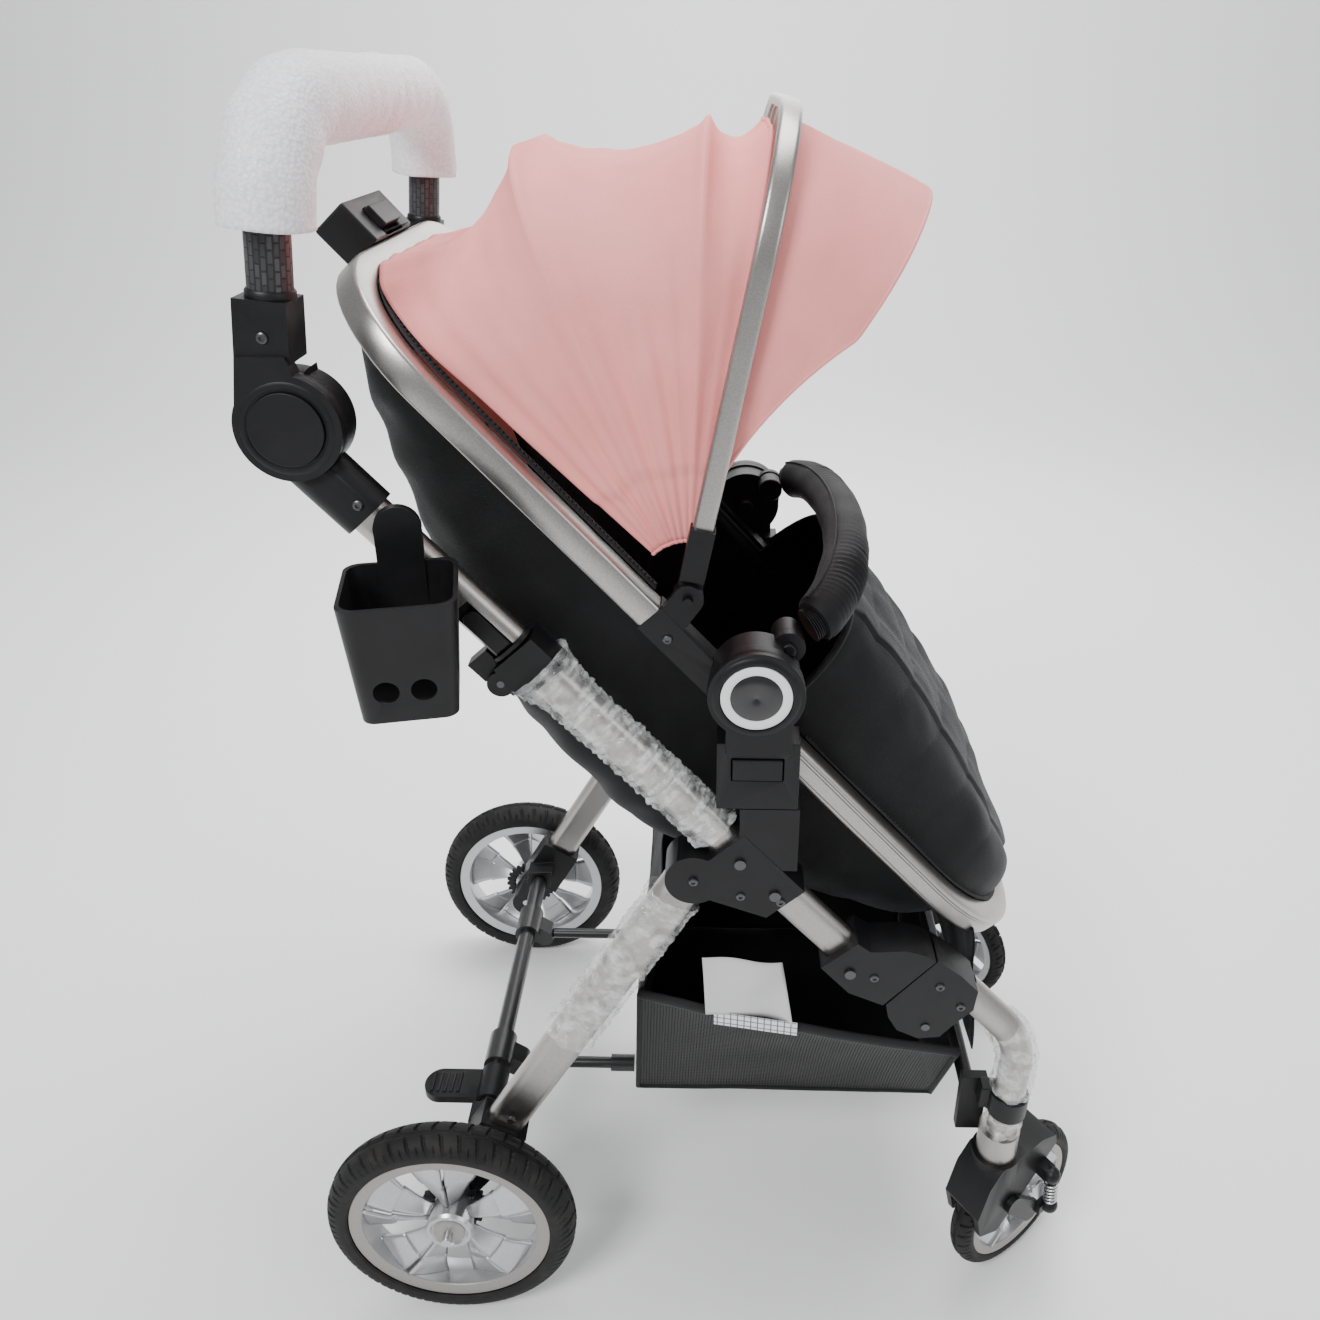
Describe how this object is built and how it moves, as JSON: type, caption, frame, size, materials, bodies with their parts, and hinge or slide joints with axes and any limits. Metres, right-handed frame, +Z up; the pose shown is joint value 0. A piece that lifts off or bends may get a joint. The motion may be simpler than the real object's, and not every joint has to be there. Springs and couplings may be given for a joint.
{
  "type": "baby stroller",
  "caption": "Folding baby stroller with a reclining reversible seat, folding canopy, tilting handle, swivel front wheels, cup holder and basket.",
  "frame": {"origin": "under the middle of the whole stroller, on the floor that the wheels stand on", "axes": "+X forwards, +Y to the left of somebody pushing, +Z up"},
  "size_m": [0.7766, 0.6114, 1.1753],
  "materials": {
    "silver_tube": "fine brushed anodised oval tube",
    "moulded_black": "moulded black nylon with a fine texture",
    "steel_pin": "zinc plated",
    "spring_steel": "bright plated spring wire",
    "painted_rod": "satin black paint on steel rod",
    "woven_leather": "black leather-look wrap with a woven pattern",
    "foam": "white closed-cell packing foam",
    "rim_silver": "silver painted plastic with a bright lacquer",
    "tyre": "black foam rubber tread",
    "white_ring": "white ring round a black cap",
    "grey_lever": "dark grey moulding",
    "black_fabric": "black woven polyester",
    "liner_fabric": "rust pink padded liner",
    "webbing": "black webbing",
    "pink_fabric": "soft pink woven cotton-look cloth",
    "mesh_fabric": "black mesh with bound edges"
  },
  "bodies": {
    "chassis": {"lower_tubes": "silver_tube", "mid_brackets": "moulded_black", "upper_knuckles": "moulded_black", "fold_sockets": "moulded_black", "frame_pins": "steel_pin", "basket": "mesh_fabric"},
    "push_frame": {"upper_tubes": "silver_tube", "handle_arms": "moulded_black", "fold_hinges": "moulded_black"},
    "slider_right": {"fold_slider_right": "moulded_black"},
    "slider_left": {"fold_slider_left": "moulded_black"},
    "cup": {"cup_holder": "moulded_black"},
    "handle": {"handle_brackets": "moulded_black", "handle_tube": "woven_leather", "handle_sleeve": "foam"},
    "button_right": {"hub_button_right": "moulded_black"},
    "button_left": {"hub_button_left": "moulded_black"},
    "front_frame": {"lower_knuckles": "moulded_black", "front_legs": "silver_tube", "front_crossbar": "moulded_black", "leg_clips": "moulded_black"},
    "caster_right": {"fork_right": "moulded_black", "spring_right": "spring_steel"},
    "caster_left": {"fork_left": "moulded_black", "spring_left": "spring_steel"},
    "arm_right": {"suspension_arm_right": "moulded_black"},
    "arm_left": {"suspension_arm_left": "moulded_black"},
    "front_wheel_right": {"front_rim_right": "rim_silver", "front_tyre_right": "tyre"},
    "front_wheel_left": {"front_rim_left": "rim_silver", "front_tyre_left": "tyre"},
    "rear_frame": {"rear_legs": "silver_tube", "wheel_housings": "moulded_black", "rear_crossbar": "painted_rod", "basket_rods": "painted_rod", "rear_axles": "steel_pin"},
    "rear_wheel_right": {"rear_rim_right": "rim_silver", "rear_tyre_right": "tyre"},
    "rear_wheel_left": {"rear_rim_left": "rim_silver", "rear_tyre_left": "tyre"},
    "brake": {"brake_pedal": "moulded_black"},
    "seat_carrier": {"seat_adapters": "moulded_black", "hub_rings": "white_ring"},
    "latch_right": {"seat_latch_right": "moulded_black"},
    "latch_left": {"seat_latch_left": "moulded_black"},
    "seat": {"seat_ring_upper": "silver_tube", "seat_ring_lower": "silver_tube", "ring_connectors": "moulded_black", "seat_tub": "black_fabric", "seat_liner": "liner_fabric", "footmuff": "black_fabric", "harness": "webbing", "recline_housing": "moulded_black", "canopy": "pink_fabric"},
    "lever": {"recline_lever": "grey_lever"},
    "bow": {"canopy_bow": "silver_tube", "canopy_feet": "moulded_black", "visor": "pink_fabric"},
    "bumper": {"bumper_bar": "black_fabric", "bumper_clips": "moulded_black"}
  },
  "joints": [
    {"name": "push_frame_fold", "type": "hinge", "parent": "chassis", "child": "push_frame", "pos_m": [-0.17431, 0.022, 0.72717], "axis": [0, -1, 0], "range_deg": [0, 100]},
    {"name": "handle_tilt", "type": "hinge", "parent": "push_frame", "child": "handle", "pos_m": [-0.308, 0.022, 0.939], "axis": [0, -1, 0], "range_deg": [0, 100]},
    {"name": "front_fold", "type": "hinge", "parent": "chassis", "child": "front_frame", "pos_m": [0.193, 0.022, 0.371], "axis": [0, 1, 0], "range_deg": [0, 50], "deforming": ["basket"]},
    {"name": "rear_fold", "type": "hinge", "parent": "chassis", "child": "rear_frame", "pos_m": [-0.021, 0.022, 0.536], "axis": [0, -1, 0], "range_deg": [0, 8.3]},
    {"name": "caster_right_swivel", "type": "hinge", "parent": "front_frame", "child": "caster_right", "pos_m": [0.285, -0.188, 0.181], "axis": [0, 0, 1], "continuous": true},
    {"name": "suspension_right", "type": "hinge", "parent": "caster_right", "child": "arm_right", "pos_m": [0.29147, -0.1833, 0.118], "axis": [0.5878, -0.809, 0], "range_deg": [0, 6], "stiffness_Nm_per_rad": 30, "springref_deg": -4.58, "deforming": ["spring_right"]},
    {"name": "front_wheel_right_spin", "type": "hinge", "parent": "arm_right", "child": "front_wheel_right", "pos_m": [0.31736, -0.16449, 0.085], "axis": [-0.5878, 0.809, 0], "continuous": true},
    {"name": "rear_wheel_right_spin", "type": "hinge", "parent": "rear_frame", "child": "rear_wheel_right", "pos_m": [-0.263, -0.233, 0.125], "axis": [0, 1, 0], "continuous": true},
    {"name": "caster_left_swivel", "type": "hinge", "parent": "front_frame", "child": "caster_left", "pos_m": [0.285, 0.232, 0.181], "axis": [0, 0, 1], "continuous": true},
    {"name": "suspension_left", "type": "hinge", "parent": "caster_left", "child": "arm_left", "pos_m": [0.29147, 0.2273, 0.118], "axis": [-0.5878, -0.809, 0], "range_deg": [0, 6], "stiffness_Nm_per_rad": 30, "springref_deg": -4.58, "deforming": ["spring_left"]},
    {"name": "front_wheel_left_spin", "type": "hinge", "parent": "arm_left", "child": "front_wheel_left", "pos_m": [0.31736, 0.20849, 0.085], "axis": [0.5878, 0.809, 0], "continuous": true},
    {"name": "rear_wheel_left_spin", "type": "hinge", "parent": "rear_frame", "child": "rear_wheel_left", "pos_m": [-0.263, 0.277, 0.125], "axis": [0, 1, 0], "continuous": true},
    {"name": "brake_pedal_press", "type": "hinge", "parent": "rear_frame", "child": "brake", "pos_m": [-0.239, 0.022, 0.18], "axis": [0, -1, 0], "range_deg": [0, 20]},
    {"name": "seat_lift", "type": "slide", "parent": "chassis", "child": "seat_carrier", "axis": [0, 0, 1], "range_m": [0, 0.04]},
    {"name": "seat_latch_right_press", "type": "slide", "parent": "seat_carrier", "child": "latch_right", "axis": [0, 1, 0], "range_m": [0, 0.003], "stiffness_N_per_m": 500, "springref_m": -0.001},
    {"name": "seat_latch_left_press", "type": "slide", "parent": "seat_carrier", "child": "latch_left", "axis": [0, -1, 0], "range_m": [0, 0.003], "stiffness_N_per_m": 500, "springref_m": -0.001},
    {"name": "seat_recline", "type": "hinge", "parent": "seat_carrier", "child": "seat", "pos_m": [0.029, 0.022, 0.722], "axis": [0, -1, 0], "range_deg": [0, 30]},
    {"name": "canopy_fold", "type": "hinge", "parent": "seat", "child": "bow", "pos_m": [-0.026, 0.022, 0.79], "axis": [0, -1, 0], "range_deg": [0, 38], "deforming": ["canopy"]},
    {"name": "bumper_swing", "type": "hinge", "parent": "seat", "child": "bumper", "pos_m": [0.055, 0.022, 0.748], "axis": [0, 1, 0], "range_deg": [0, 10]},
    {"name": "recline_lever_pull", "type": "slide", "parent": "seat", "child": "lever", "axis": [0.6713, 0, -0.7412], "range_m": [0, 0.004], "stiffness_N_per_m": 500, "springref_m": -0.001},
    {"name": "hub_button_right_press", "type": "slide", "parent": "handle", "child": "button_right", "axis": [0, 1, 0], "range_m": [0, 0.002], "stiffness_N_per_m": 500, "springref_m": -0.001},
    {"name": "fold_slider_right_pull", "type": "slide", "parent": "push_frame", "child": "slider_right", "axis": [-0.6713, 0, 0.7412], "range_m": [0, 0.006], "stiffness_N_per_m": 500, "springref_m": -0.001},
    {"name": "hub_button_left_press", "type": "slide", "parent": "handle", "child": "button_left", "axis": [0, -1, 0], "range_m": [0, 0.002], "stiffness_N_per_m": 500, "springref_m": -0.001},
    {"name": "fold_slider_left_pull", "type": "slide", "parent": "push_frame", "child": "slider_left", "axis": [-0.6713, 0, 0.7412], "range_m": [0, 0.006], "stiffness_N_per_m": 500, "springref_m": -0.001},
    {"name": "cup_lift", "type": "slide", "parent": "push_frame", "child": "cup", "axis": [0, 0, 1], "range_m": [0, 0.04]}
  ],
  "couplings": [
    {"joint": "rear_fold", "follows": "front_fold", "ratio": 0.165}
  ]
}
